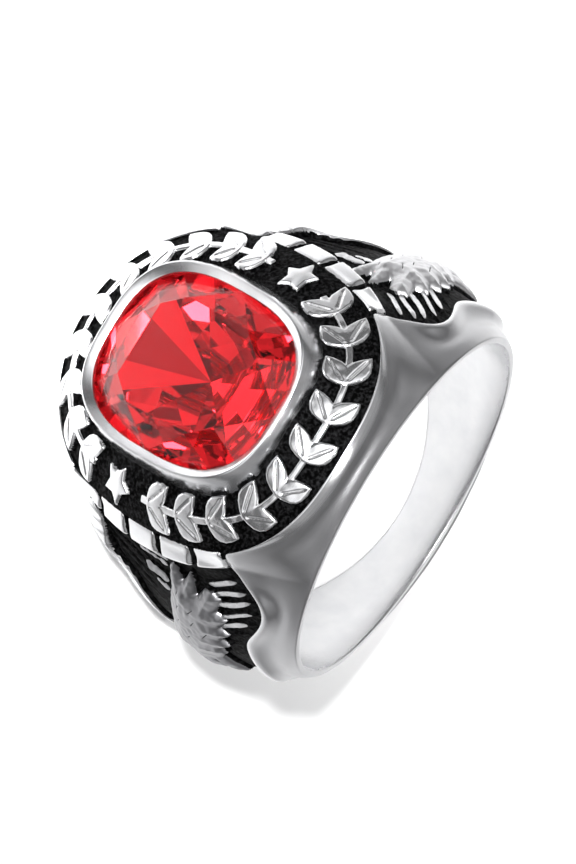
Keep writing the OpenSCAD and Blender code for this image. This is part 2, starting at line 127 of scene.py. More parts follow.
def outline(shape, turn, grow=0.0):
    """Points of a rounded outline, by direction."""
    c, s = np.cos(turn), np.sin(turn)
    reach = (np.abs(c) / (shape[0] + grow)) ** shape[2] + (np.abs(s) / (shape[1] + grow)) ** shape[2]
    return reach[..., None] ** (-1 / shape[2]) * np.stack([c, s], axis=-1)


def smooth_step(value, low, high):
    t = np.clip((value - low) / (high - low), 0, 1)
    return t * t * (3 - 2 * t)


# Sections by angle, half a turn, in fine steps
frieze_x = np.linspace(0, 0.857 * FRIEZE[0], 80)
frieze_y = FRIEZE[1] * (1 - (frieze_x / FRIEZE[0]) ** FRIEZE[2]) ** (1 / FRIEZE[2])
frieze_z = head_z(frieze_x, frieze_y)
CORNER = math.atan2(frieze_x[-1], frieze_z[-1])
corner_r = math.hypot(frieze_x[-1], frieze_z[-1])
corner_wall = corner_r + EDGE_H - FINGER_R
middle_wall = float(head_ground(CORNER, 0.0)) - FINGER_R

shoulder_angles = np.radians(SHOULDER[:, 0])
shoulder_edge = FINGER_R + SHOULDER[:, 1:4] @ np.array([SIDE_T, corner_wall, BACK_T])
shoulder_middle = FINGER_R + SHOULDER[:, 4:7] @ np.array([SIDE_T, middle_wall, BACK_T])
shoulder_half = SHOULDER[:, 7] * side_half(FINGER_R * np.cos(shoulder_angles))
head_angles = np.arctan2(frieze_x, frieze_z)
head_edge = np.hypot(frieze_x, frieze_z) + EDGE_H

FINE = 0.25
STEP = math.radians(FINE)
fine_angles = np.arange(0, math.pi + STEP / 2, STEP)
table_angles = np.concatenate([head_angles, shoulder_angles])


def soften(values, degrees):
    """Averages over nearby angles, mirrored at both ends."""
    width = int(round(3 * degrees / FINE))
    if width < 1:
        return values
    kernel = np.exp(-0.5 * (np.arange(-width, width + 1) * FINE / degrees) ** 2)
    padded = np.concatenate([values[width:0:-1], values, values[-2:-width - 2:-1]])
    return np.convolve(padded, kernel / kernel.sum(), mode="valid")


def by_angle(head_values, shoulder_values, corner_soft=0.5, soft=1.6):
    raw = np.interp(fine_angles, table_angles, np.concatenate([head_values, shoulder_values]))
    far = smooth_step(np.degrees(fine_angles), 36, 46)
    return soften(raw, corner_soft) * (1 - far) + soften(raw, soft) * far


HALF = by_angle(frieze_y, shoulder_half)
EDGE = by_angle(head_edge, shoulder_edge)
MIDDLE = by_angle(head_ground(head_angles, 0.0), shoulder_middle)
GROUND = by_angle(head_edge - EDGE_H, shoulder_edge - SHOULDER[:, 8] * PANEL_DEPTH)


def at(values, angle):
    return np.interp(np.abs(angle), fine_angles, values)


def ground_r(angle, y):
    """Ground of the frieze and of the panels, as a distance from the finger's axis."""
    half = at(HALF, angle)
    shoulder = at(MIDDLE, angle) + (at(GROUND, angle) - at(MIDDLE, angle)) * (y / half) ** 2
    in_head = 1 - smooth_step(np.degrees(np.abs(angle)), 31.0, 36.0)
    return shoulder + (head_ground(angle, y) - shoulder) * in_head


def crown_r(angle, y):
    """Outer face of the shank where no panel is sunk into it."""
    half, edge = at(HALF, angle), at(EDGE, angle)
    crown = np.maximum(at(MIDDLE, angle) - edge, 0.1)
    return edge + crown * (1 - np.minimum(np.abs(y) / half, 1) ** 2)


def pocket_distance(angle, y):
    """Signed distance to the panel's rounded end, in millimetres, positive outside."""
    half = at(HALF, angle)
    along = np.maximum(np.degrees(np.abs(angle)) - POCKET_CLOSES, 0) / (POCKET_ENDS - POCKET_CLOSES)
    across = np.abs(y) / half
    level = (along ** 2.6 + across ** 2.6) ** (1 / 2.6)
    slope = np.maximum(np.hypot(along / 2.1, across / half), 1e-6) / np.maximum(level, 1e-6)
    return (level - 1) / np.maximum(slope, 0.25)


def ring_point(angle, r, y):
    return np.stack(np.broadcast_arrays(r * np.sin(angle), y, r * np.cos(angle)), axis=-1)


def grid_faces(rows, cols, close_rows=False, close_cols=False):
    i = np.arange(rows if close_rows else rows - 1)
    j = np.arange(cols if close_cols else cols - 1)
    i, j = np.meshgrid(i, j, indexing="ij")
    i, j = i.ravel(), j.ravel()
    i2, j2 = (i + 1) % rows, (j + 1) % cols
    return np.stack([i * cols + j, i2 * cols + j, i2 * cols + j2, i * cols + j2], axis=1)


def volume(points, faces):
    a, b, c, d = (points[faces[:, k]] for k in range(4))
    return (np.einsum("ij,ij->i", a, np.cross(b, c)) + np.einsum("ij,ij->i", a, np.cross(c, d))).sum() / 6


def make_piece(name, points, quads, extra_faces=(), fields=None):
    """A closed mesh from grid points in upright millimetres, with its faces turned outwards."""
    quads = np.asarray(quads)
    flip = volume(points - points.mean(axis=0), quads) < 0
    faces = [tuple(f) for f in (quads[:, ::-1] if flip else quads).tolist()]
    for face in extra_faces:
        faces.append(tuple(reversed(face)) if flip else tuple(face))
    mesh = bpy.data.meshes.new(name)
    mesh.from_pydata(lay_down(points).tolist(), [], faces)
    mesh.update()
    mesh.shade_smooth()
    for field, values in (fields or {}).items():
        layer = mesh.attributes.new(field, "FLOAT", "POINT")
        layer.data.foreach_set("value", np.ascontiguousarray(values, dtype=np.float32))
    piece = bpy.data.objects.new(name, mesh)
    bpy.context.scene.collection.objects.link(piece)
    return piece


class Grain:
    """Smooth seeded noise: a sum of waves in many directions."""

    def __init__(self, seed, longest, shortest, count=28):
        rng = np.random.default_rng(seed)
        lengths = np.exp(rng.uniform(np.log(shortest), np.log(longest), count))
        turns = rng.uniform(0, 2 * np.pi, count)
        self.waves = np.stack([np.cos(turns), np.sin(turns)]) * 2 * np.pi / lengths
        self.phases = rng.uniform(0, 2 * np.pi, count)
        self.scale = math.sqrt(2 / count)

    def __call__(self, u, v):
        total = np.zeros(np.shape(u))
        for k in range(self.phases.size):
            total += np.sin(u * self.waves[0, k] + v * self.waves[1, k] + self.phases[k])
        return total * self.scale


# The casting: shank, shoulders' edges and the head's side walls
SINK = 0.14
WALL_RUN, WALL_FOOT = 0.1, 0.03
HOLE_EDGE = 0.06
SEAT_ROOM, SEAT_FLOOR = 0.4, 0.2
# The chamfer under the edge and the hollow below it: everywhere, and what the head and the panels add
CHAMFER, CHAMFER_HEAD, CHAMFER_PANEL, CHAMFER_DROP = 0.08, 0.24, 0.04, 0.5
HOLLOW, HOLLOW_HEAD, HOLLOW_PANEL, HOLLOW_AT, HOLLOW_SPREAD = 0.05, 0.05, 0.16, 0.42, 0.21
SWELL_BACK, SWELL_PANEL = 0.1, 0.07
# Points across each stretch of half a section, from the middle of the ground to the middle of the hole
FLOOR_N, WALL_N, MARGIN_N, SIDE_N, RIM_N, ROUND_N, HOLE_N = 33, 6, 8, 24, 4, 3, 5
MARGIN_FROM = FLOOR_N + WALL_N
SIDE_FROM = MARGIN_FROM + MARGIN_N
RIM_FROM = SIDE_FROM + SIDE_N
ROUND_FROM = RIM_FROM + RIM_N
# Stretches of half a turn in degrees, with the step in each
CASTING_SPANS = [(0, 28, 1.0), (28, 44, 0.5), (44, 92, 1.0), (92, 106, 0.35), (106, 180, 1.6)]


def steps(count):
    """Shares of the way along a stretch, without its start."""
    return np.linspace(0, 1, count + 1)[None, 1:]


def in_outline(x, y, shape, grow):
    return (np.abs(x) / (shape[0] + grow)) ** shape[2] + (np.abs(y) / (shape[1] + grow)) ** shape[2] < 1


def casting():
    """The shank with its shoulders' edges and the head's walls, as one closed ring of sections."""
    half_turn = np.concatenate([np.arange(a, b, s) for a, b, s in CASTING_SPANS] + [[180.0]])
    angles = np.radians(np.concatenate([half_turn, -half_turn[-2:0:-1]]))
    t = angles[:, None]
    degrees = np.degrees(np.abs(t))
    half, edge = at(HALF, t), at(EDGE, t)
    in_head = 1 - smooth_step(degrees, 22, 33.5)
    lip = smooth_step(degrees, 40, 52) * (1 - smooth_step(degrees, 98, 116))

    # Across the pocket or the outer face, from the middle to the foot of the wall
    share = np.linspace(0, 1, FLOOR_N)[None, :]
    y_floor = (half - WALL_RUN - WALL_FOOT) * share
    floor = ground_r(t, y_floor) - SINK
    in_seat = in_outline(floor * np.sin(t), y_floor, WINDOW, SEAT_ROOM) & (degrees < 40)
    floor = np.where(in_seat, FINGER_R + SEAT_FLOOR, floor)
    closed = smooth_step(pocket_distance(t, y_floor), -0.06, 0.08)
    closed = np.where(degrees > POCKET_ENDS + 1, 1.0, closed)
    r_floor = floor + (crown_r(t, y_floor) - floor) * closed

    # Wall, margin, chamfer, hollow side, rim
    share = steps(WALL_N)
    y_wall = half - (WALL_RUN + WALL_FOOT) * (1 - share)
    r_wall = r_floor[:, -1:] + (edge - r_floor[:, -1:]) * share
    chamfer_y = half + CHAMFER + CHAMFER_HEAD * in_head + CHAMFER_PANEL * lip
    chamfer_r = edge - CHAMFER_DROP * in_head - 0.01
    rim_r = FINGER_R + RIM_FLAT
    rim_y = side_half(rim_r * np.cos(t))
    share = steps(MARGIN_N)
    margin = 0.07 * in_head + 0.03
    over_chamfer = np.clip(share * 4 / 3 - 1 / 3, 0, 1)
    y_margin = half + margin * np.minimum(share * 4, 1) + (chamfer_y - half - margin) * over_chamfer
    r_margin = edge + (chamfer_r - edge) * over_chamfer
    share = steps(SIDE_N)
    way_y, way_r = rim_y - chamfer_y, rim_r - chamfer_r
    length = np.hypot(way_y, way_r)
    back = smooth_step(degrees, 104, 140)
    valley = (HOLLOW + HOLLOW_HEAD * in_head + HOLLOW_PANEL * lip) * (1 - back)
    bulge = (SWELL_BACK * back + SWELL_PANEL * lip) * np.sin(np.pi * np.minimum(share / 0.2, 1))
    bulge = bulge - valley * np.exp(-((share - HOLLOW_AT) / HOLLOW_SPREAD) ** 2)
    y_side = chamfer_y + way_y * share + bulge * -way_r / length
    r_side = chamfer_r + way_r * share + bulge * way_y / length
    share = steps(RIM_N)
    r_rim = rim_r + (FINGER_R + HOLE_EDGE - rim_r) * share + 0 * t
    y_rim = side_half(r_rim * np.cos(t))
    share = steps(ROUND_N)
    r_round = FINGER_R + HOLE_EDGE * (1 - np.sin(share * np.pi / 2)) + 0 * t
    y_round = y_rim[:, -1:] - HOLE_EDGE * (1 - np.cos(share * np.pi / 2))
    y_hole = y_round[:, -1:] * (1 - steps(HOLE_N))
    r_hole = np.full_like(y_hole, FINGER_R)

    y = np.concatenate([y_floor, y_wall, y_margin, y_side, y_rim, y_round, y_hole], axis=1)
    r = np.concatenate([r_floor, r_wall, r_margin, r_side, r_rim, r_round, r_hole], axis=1)
    # Softens the corners of the wall, margin and side, and leaves the rim crisp
    first, last = FLOOR_N - 2, RIM_FROM - 2
    for _ in range(2):
        for values in (y, r):
            before, after = values[:, first - 1:last - 1], values[:, first + 1:last + 1]
            values[:, first:last] = (before + 2 * values[:, first:last] + after) / 4
    y_all = np.concatenate([y, -y[:, -2:0:-1]], axis=1)
    r_all = np.concatenate([r, r[:, -2:0:-1]], axis=1)
    points = ring_point(t, r_all, y_all)
    rows, cols = points.shape[:2]
    # Blackened inside the pockets, and in the corner where the wall meets the ground, but never in the hole
    column = np.arange(cols)
    column = np.minimum(column, cols - column)[None, :]
    dark = smooth_step(crown_r(t, y_all) - r_all, 0.05, 0.14) * (np.abs(y_all) < half - 0.012)
    dark = dark * (degrees < POCKET_ENDS + 1) * (column < MARGIN_FROM)
    # Satin finish on the side walls, with painted shade in their colour: greyer on the side wall that is
    # seen, brighter on the side that lies down
    walls = smooth_step(column, SIDE_FROM - 3, SIDE_FROM + 2)
    walls = walls * (1 - smooth_step(column, ROUND_FROM, ROUND_FROM + HOLE_N))
    satin = walls * np.where(y_all > 0, 0.85, 0.3) + 0.3 * (column < SIDE_FROM - 2) * (dark < 0.5)
    # Painted shade: greys the side wall that is seen, and a little all of the walls, the rim and the hole
    dull = 0.5 * walls * (y_all > 0) + 0.15 * (column >= SIDE_FROM - 3)
    return make_piece("shank", points.reshape(-1, 3), grid_faces(rows, cols, True, True),
                      fields={"dark": dark.ravel(), "satin": satin.ravel(), "dull": dull.ravel()})


def pillow(depth, radius):
    """Rises from 0 at the edge to 1 at that radius, round at the top and with a small fillet at the foot."""
    t = np.clip(depth / radius, 0, 1)
    return np.sqrt(1 - (1 - t) ** 2) * smooth_step(depth, 0, 0.1)


# Width of a leaf from its root to its tip, as shares of its length and of its greatest width
LEAF_PLACES = [0, 0.12, 0.3, 0.45, 0.62, 0.8, 0.92, 1]
LEAF_WIDTHS = [0.3, 0.62, 0.92, 1.0, 0.9, 0.58, 0.28, 0.04]


def leaf_field(u, v, root, tip, width):
    """Depth inside a leaf (positive inside), and the place along and across it."""
    way = np.subtract(tip, root)
    length = math.hypot(*way)
    way = way / length
    along = ((u - root[0]) * way[0] + (v - root[1]) * way[1]) / length
    across = (v - root[1]) * way[0] - (u - root[0]) * way[1]
    t = np.clip(along, 0.0, 1.0)
    profile = np.interp(t, LEAF_PLACES, LEAF_WIDTHS)
    inside = width / 2 * profile - np.abs(across)
    over = np.maximum(np.maximum(-along, along - 1), 0) * length
    return np.where(over > 0, np.minimum(inside, 0) - over, inside * 0.92), along, across


# The frieze: a wreath in two sprays and two stars on a blackened ground
RELIEF_H = 0.4
# Cast grain of the blackened grounds, and the waves of the frieze and of the eagle
GRIT, GRIT_WAVES = 0.008, (0.9, 0.16)
FRIEZE_WAVE, EAGLE_WAVE = 0.006, 0.012
FRIEZE_TURNS, FRIEZE_SHARES = 1280, 68
UNDERSIDE = 0.3
UNDER_COLUMNS = [0, 20, 40, -1]
STEM_H = 0.85
STAR_TURNS = (-14, 169)
STAR_ROOM, STEM_SHARE = 15, 0.52
STAR_R, STAR_INNER, STAR_LEAN = 1.13, 0.58, 20
LEAF_PAIRS, LEAF_L, LEAF_W, STEM_W = 10, 1.92, 1.3, 0.46
WREATH_R = 7.5
LEAF_GOALS, LEAF_LEAD, FIRST_LEAF = (0.1, 0.94), 0.75, 0.3
VEIN_W, VEIN_DEPTH = 0.06, 0.24
RIDGE = (WINDOW[0] + LIP_W, WINDOW[1] + LIP_W)
BEZEL_FOOT = (
    RIDGE[0] + BEZEL_SPREAD * (RIDGE_Z - head_z(RIDGE[0], 0)),
    RIDGE[1] + BEZEL_SPREAD * (RIDGE_Z - head_z(0, RIDGE[1])),
    WINDOW[2],
)


def frieze_place(turn, share):
    """Place on the frieze by direction in degrees and share of the way from the bezel to the band's edge."""
    turn = np.radians(turn)
    inner, outer = outline(BEZEL_FOOT, turn), outline(BAND, turn)
    return inner + (outer - inner) * np.asarray(share)[..., None]


def star_field(u, v, centre, turn):
    """Depth inside a five-pointed star."""
    angle = np.arctan2(v - centre[1], u - centre[0]) - math.radians(turn)
    r = np.hypot(u - centre[0], v - centre[1])
    sector = math.pi / 5
    folded = np.abs((angle + sector) % (2 * sector) - sector)
    x, y = r * np.cos(folded), r * np.sin(folded)
    inner = np.array([math.cos(sector), math.sin(sector)]) * STAR_R * STAR_INNER
    edge = inner - np.array([STAR_R, 0])
    normal = np.array([edge[1], -edge[0]]) / np.hypot(*edge)
    return -((x - STAR_R) * normal[0] + y * normal[1])


def frieze():
    """The sloping band round the bezel, with its wreath and stars, as a closed sheet."""
    turns = np.arange(0, 360, 360 / FRIEZE_TURNS)
    shares = np.linspace(-0.1, 1.045, FRIEZE_SHARES)
    place = frieze_place(turns[:, None], np.broadcast_to(shares, (turns.size, shares.size)))
    x, y = place[..., 0], place[..., 1]
    band = np.linalg.norm(frieze_place(turns, 1.0) - frieze_place(turns, 0.0), axis=-1)[:, None]
    height = np.zeros_like(x)
    top = np.zeros_like(x)
    groove = np.zeros_like(x)

    sprays = [(STAR_TURNS[0] + STAR_ROOM, STAR_TURNS[1] - STAR_ROOM),
              (STAR_TURNS[1] + STAR_ROOM, STAR_TURNS[0] + 360 - STAR_ROOM)]
    for first, last in sprays:
        pitch = (last - first) / LEAF_PAIRS
        off = (turns[:, None] - first) % 360
        length = last - first
        ends = np.minimum(off, length - off) * math.radians(1) * WREATH_R
        ends = np.where(off > length, -1.0, ends)
        depth = np.minimum(STEM_W / 2 - np.abs(shares - STEM_SHARE) * band, ends)
        rise = STEM_H * pillow(depth, 0.14)
        height, top = np.maximum(height, rise), np.maximum(top, rise / STEM_H)
        for k in range(LEAF_PAIRS):
            turn = first + pitch * (k + FIRST_LEAF)
            root = frieze_place(turn, STEM_SHARE)
            for goal in LEAF_GOALS:
                aim = frieze_place(turn + pitch * LEAF_LEAD, goal)
                reach = np.linalg.norm(aim - root)
                tip = root + min(LEAF_L, reach + 0.12) * (aim - root) / reach
                near = np.hypot(x - root[0], y - root[1]) < LEAF_L + 0.5
                depth, along, across = leaf_field(x[near], y[near], root, tip, LEAF_W)
                rise = pillow(depth, 0.2) * (0.93 + 0.07 * np.clip(depth / 0.4, 0, 1))
                vein = np.exp(-(across / VEIN_W) ** 2) * smooth_step(along, 0.08, 0.2)
                vein = np.where(depth > 0, vein * (1 - smooth_step(along, 0.72, 0.9)), 0)
                height[near] = np.maximum(height[near], rise * (1 - VEIN_DEPTH * vein))
                top[near] = np.maximum(top[near], rise)
                groove[near] = np.maximum(groove[near], vein)
    for turn in STAR_TURNS:
        depth = star_field(x, y, frieze_place(turn, STEM_SHARE), turn + STAR_LEAN)
        rise = pillow(depth, 0.2) * (0.92 + 0.1 * np.clip(depth / 0.4, 0, 1))
        height, top = np.maximum(height, rise), np.maximum(top, pillow(depth, 0.18))

    clear = smooth_step(shares, 0.0, 0.07)[None, :]
    height, top = height * clear, top * clear
    ground = 1 - smooth_step(top, 0.05, 0.4)
    lift = RELIEF_H * height + GRIT * Grain(7, *GRIT_WAVES)(x, y) * ground
    lift += FRIEZE_WAVE * Grain(8, 2.4, 0.5)(x, y)
    slope_x = -2 * FALL_X * x / FRIEZE[0] ** 2
    slope_y = -2 * FALL_Y * y / FRIEZE[1] ** 2
    normal = np.stack([-slope_x, -slope_y, np.ones_like(x)], axis=-1)
    normal /= np.linalg.norm(normal, axis=-1, keepdims=True)
    surface = np.stack([x, y, head_z(x, y)], axis=-1)
    points = surface + normal * lift[..., None]
    under = surface - normal * UNDERSIDE
    loop = np.concatenate([points, under[:, ::-1][:, UNDER_COLUMNS]], axis=1)
    dark = 1 - smooth_step(top, 0.5, 0.85) * (1 - 0.45 * groove)
    dark_loop = np.concatenate([dark, np.ones((turns.size, len(UNDER_COLUMNS)))], axis=1)
    rows, cols = loop.shape[:2]
    plain = np.zeros(rows * cols)
    return make_piece("frieze", loop.reshape(-1, 3), grid_faces(rows, cols, True, True),
                      fields={"dark": dark_loop.ravel(), "satin": plain, "dull": plain})


def segment_distance(u, v, a, b):
    way = np.subtract(b, a)
    t = np.clip(((u - a[0]) * way[0] + (v - a[1]) * way[1]) / (way @ way), 0, 1)
    return np.hypot(u - a[0] - t * way[0], v - a[1] - t * way[1])


def polygon_depth(u, v, corners):
    """Distance to a polygon's edge, positive inside."""
    nearest = np.full(u.shape, np.inf)
    inside = np.zeros(u.shape, dtype=bool)
    for a, b in zip(corners, corners[1:] + corners[:1]):
        nearest = np.minimum(nearest, segment_distance(u, v, a, b))
        crosses = (a[1] > v) != (b[1] > v)
        if a[1] != b[1]:
            inside ^= crosses & (u < a[0] + (v - a[1]) * (b[0] - a[0]) / (b[1] - a[1]))
    return np.where(inside, nearest, -nearest)


# The shoulders: blocks, ribs and an eagle
SHOULDER_SPAN, SHOULDER_ROWS, SHOULDER_COLUMNS = (30.5, 106), 340, 268
SHOULDER_UNDER = 0.22
SHOULDER_UNDER_COLUMNS = [0, 89, 178, -1]
BLOCK_COUNT, BLOCK_W, BLOCK_GAP, BLOCK_CREST = 5, 1.8, 0.1, 0.42
# A block's height at its inner edge, its corner and edge radii, and what the last ones lose in width
BLOCK_H, BLOCK_CORNER, BLOCK_EDGE, BLOCK_NARROWER = 0.38, 0.3, 0.36, 0.25
BLOCK_PAST = 0.08
RIB_COUNT, RIB_W, RIB_PITCH, RIB_RISE, RIB_FIRST = 7, 0.48, 0.84, 0.56, 3.05
# Of the ribs on each side of the eagle: where they start, their height and how far they are polished
RIB_SIDES = {1: (2.5, 0.26, 0.95), -1: (2.2, 0.06, 0.2)}
EAGLE_H, EAGLE_SWELL, MARK_W, MARK_DEPTH = 0.54, 0.32, 0.042, 0.05
PANEL_R = FINGER_R + SIDE_T
# Outline of the eagle from its upper wing tip: degrees from the stone, millimetres along the finger
EAGLE = [
    (47.6, 0.7), (50, 0.15), (54, -0.2), (59, -0.35), (63, -0.65), (67, -0.9), (71, -1.1),
    (75.5, -1.4), (80, -1.85), (84, -2.0), (87, -1.35), (97, -1.95), (95.3, -1.1), (99.3, -0.75),
    (97, 0), (99.3, 0.75), (95.3, 1.1), (97, 1.95), (87, 1.35), (84.5, 1.55), (82, 2.2),
    (79.6, 1.95), (76.2, 2.95), (74, 2.5), (70, 3.4), (67.8, 2.85), (63.2, 3.65), (61, 3.0),
    (55.2, 3.6), (53, 3.1), (53.2, 2.4), (57.6, 1.7), (47, 1.95), (54.6, 0.8),
]
# Short tool marks on the eagle, each from one end to the other
MARKS = [
    (58.4, 0.55, 59.8, 0.4), (62.6, 1.5, 64.6, 1.1), (64.2, 0.3, 65.4, 0.15), (67.6, 1.3, 69.4, 1.0),
    (71.2, 1.9, 73.4, 1.5), (70.2, 0, 71.4, -0.2), (75.6, 0.4, 77.2, 0.1),
    (88, -0.6, 94.5, -1.2), (87.5, -0.15, 95.5, -0.4), (87.5, 0.2, 95.5, 0.35), (88, 0.7, 94.5, 1.2),
]
# Low feathers beside the eagle: both ends, half width and height
FOLDS = [
    (50.6, -2.9, 51.2, -0.5, 0.24, 0.13), (53.2, -2.6, 54, -0.7, 0.2, 0.1),
    (58.6, -2.1, 59.8, -1.1, 0.46, 0.2), (63.6, -1.7, 64.6, -1.1, 0.3, 0.12),
]
MARGIN, BEAD_H = 0.5, 0.2


def panel_place(degrees, y):
    return math.radians(degrees) * PANEL_R, y


def shoulder(name, side, painted_shade_strength):
    """Relief of one shoulder as a closed sheet. Its painted shade strength is how much painted shade greys
    the eagle and the ribs.
    """
    angles = np.radians(np.linspace(*SHOULDER_SPAN, SHOULDER_ROWS))
    shares = np.linspace(-1, 1, SHOULDER_COLUMNS)
    t = np.broadcast_to(angles[:, None], (angles.size, shares.size))
    y = shares[None, :] * (at(HALF, t) + 0.02)
    along = t * PANEL_R
    base = ground_r(t, y)
    height = np.zeros_like(y)
    top = np.zeros_like(y)
    satin = np.zeros_like(y)
    dull = np.zeros_like(y)

    # Blocks
    half_span = frieze_y[-1] + BLOCK_PAST
    pitch = 2 * half_span / BLOCK_COUNT
    edge_x = BAND[0] * (1 - (np.minimum(np.abs(y), 9) / BAND[1]) ** BAND[2]) ** (1 / BAND[2])
    inner = np.arctan2(edge_x, head_z(edge_x, y))
    across = (t - inner) * (FINGER_R + middle_wall)
    for k in range(BLOCK_COUNT):
        middle = -half_span + pitch * (k + 0.5)
        wide = BLOCK_W - BLOCK_NARROWER * (y / half_span) ** 2
        du = np.abs(across - (BLOCK_GAP + wide) / 2) - (wide - BLOCK_GAP) / 2
        dv = np.abs(y - middle) - (pitch - BLOCK_GAP) / 2
        outer = np.hypot(np.maximum(du + BLOCK_CORNER, 0), np.maximum(dv + BLOCK_CORNER, 0))
        depth = BLOCK_CORNER - outer - np.minimum(np.maximum(du, dv) + BLOCK_CORNER, 0)
        tall = BLOCK_H + BLOCK_CREST * np.clip(across / wide, 0, 1)
        rise = tall * pillow(depth, BLOCK_EDGE)
        height, top = np.maximum(height, rise), np.maximum(top, smooth_step(depth, 0.04, 0.17))

    # Ribs behind the eagle
    rng = np.random.default_rng(23)
    for k in range(RIB_COUNT):
        line = math.radians(PANEL_START) * PANEL_R + RIB_FIRST + k * RIB_PITCH
        for hand, (rib_start, rib_h, polish) in RIB_SIDES.items():
            shift, wide = rng.uniform(-0.05, 0.05), rng.uniform(0.85, 1.15)
            near, far = rng.uniform(-0.3, 0.1), rng.uniform(0.02, 0.2)
            out = hand * y
            start = rib_start + near
            share = np.clip((out - start) / np.maximum(at(HALF, t) - far - start, 0.1), 0, 1)
            taper = np.clip(np.sin(np.pi * share ** 0.9) * 1.25, 0, 1) * (1 - smooth_step(k, 3.5, 6.5))
            wave = 0.05 * np.sin(2.3 * out + 2 * k)
            off = np.abs(along - line - shift - wave + out * RIB_RISE) / math.hypot(1, RIB_RISE)
            inside = np.where(out > 0, RIB_W * wide * (0.4 + 0.6 * taper) / 2 - off, -1)
            rise = pillow(inside, 0.18) * (taper > 0.02)
            height = np.maximum(height, rib_h * rise * taper)
            top = np.maximum(top, rise * (0.45 + 0.55 * taper) * polish)
            # Satin finish on the ribs, and painted shade that greys them
            satin = np.maximum(satin, 0.6 * rise)
            dull = np.maximum(dull, 0.5 * rise)

    # Eagle
    depth = polygon_depth(along, y, [panel_place(*corner) for corner in EAGLE])
    mass = pillow(depth, 0.5) * (EAGLE_H + EAGLE_SWELL * smooth_step(depth, 0.15, 1.3))
    folds = np.zeros_like(y)
    fold_top = np.zeros_like(y)
    uneven = 0.05 * Grain(14, 1.4, 0.5)(along, y)
    for a0, c0, a1, c1, radius, high in FOLDS:
        gap = segment_distance(along, y, panel_place(a0, c0), panel_place(a1, c1))
        rise = pillow(radius + uneven - gap, radius)
        folds = np.maximum(folds, high * rise)
        fold_top = np.maximum(fold_top, 0.9 * smooth_step(rise, 0.1, 0.8))
    marks = np.zeros_like(y)
    for a0, c0, a1, c1 in MARKS:
        gap = segment_distance(along, y, panel_place(a0, c0), panel_place(a1, c1))
        marks = np.maximum(marks, np.exp(-(gap / MARK_W) ** 2))
    eagle = np.maximum(mass - MARK_DEPTH * marks * (mass > 0.1), folds)
    over_ground = eagle > height
    # Satin finish on the eagle, and full painted shade that greys it
    satin = np.where(over_ground, smooth_step(eagle, 0.05, 0.2), satin)
    dull = np.where(over_ground, 1.0, dull)
    seen = np.maximum(pillow(depth, 0.14) * (1 - 0.33 * marks), fold_top)
    top = np.where(over_ground, seen, top)
    height = np.maximum(height, eagle)

    # Margin on the side that lies down, wider and beaded beside the blocks
    degrees = np.degrees(t)
    margin = MARGIN * (1 + 1.6 * (1 - smooth_step(degrees, 52, 63)))
    start = at(HALF, t) - margin * smooth_step(degrees, 42, 50)
    strip = pillow(-y - start, 0.16) * smooth_step(degrees, 43, 46)
    bead = np.sin(np.pi * np.clip((-y - start) / margin, 0, 1))
    bead = bead * smooth_step(degrees, 43, 47) * (1 - smooth_step(degrees, 60, 68))
    height = np.maximum(height, (PANEL_DEPTH + 0.02) * strip + BEAD_H * bead)
    top = np.maximum(top, strip)

    ground = 1 - smooth_step(top, 0.05, 0.4)
    lift = height + GRIT * Grain(11, *GRIT_WAVES)(along, y) * ground
    lift += EAGLE_WAVE * Grain(12, 1.6, 0.35)(along, y) * satin
    upper = ring_point(side * t, base + lift, y)
    lower = ring_point(side * t, base - SHOULDER_UNDER, y)[:, ::-1][:, SHOULDER_UNDER_COLUMNS]
    loop = np.concatenate([upper, lower], axis=1)
    rows, cols = loop.shape[:2]
    under = np.zeros((rows, len(SHOULDER_UNDER_COLUMNS)))
    dark = np.concatenate([1 - smooth_step(top, 0.6, 0.9), under + 1], axis=1)
    satin = np.concatenate([satin, under], axis=1)
    # Painted shade, scaled for each shoulder: one shoulder's eagle and ribs are greyer than the other's
    dull = np.concatenate([dull * painted_shade_strength, under], axis=1)
    ends = [list(range(cols))[::-1], [(rows - 1) * cols + j for j in range(cols)]]
    return make_piece(name, loop.reshape(-1, 3), grid_faces(rows, cols, False, True), ends,
                      {"dark": dark.ravel(), "satin": satin.ravel(), "dull": dull.ravel()})


BEZEL_LOW_Z = 10.25
STONE_GAP, SEAT_STEP = 0.06, 0.15
# The bowl under the stone: how far its brim lies inside the girdle, and how deep under it
BRIM_IN, BRIM_DEEP = 0.55, 0.75
BEZEL_TURNS = 360


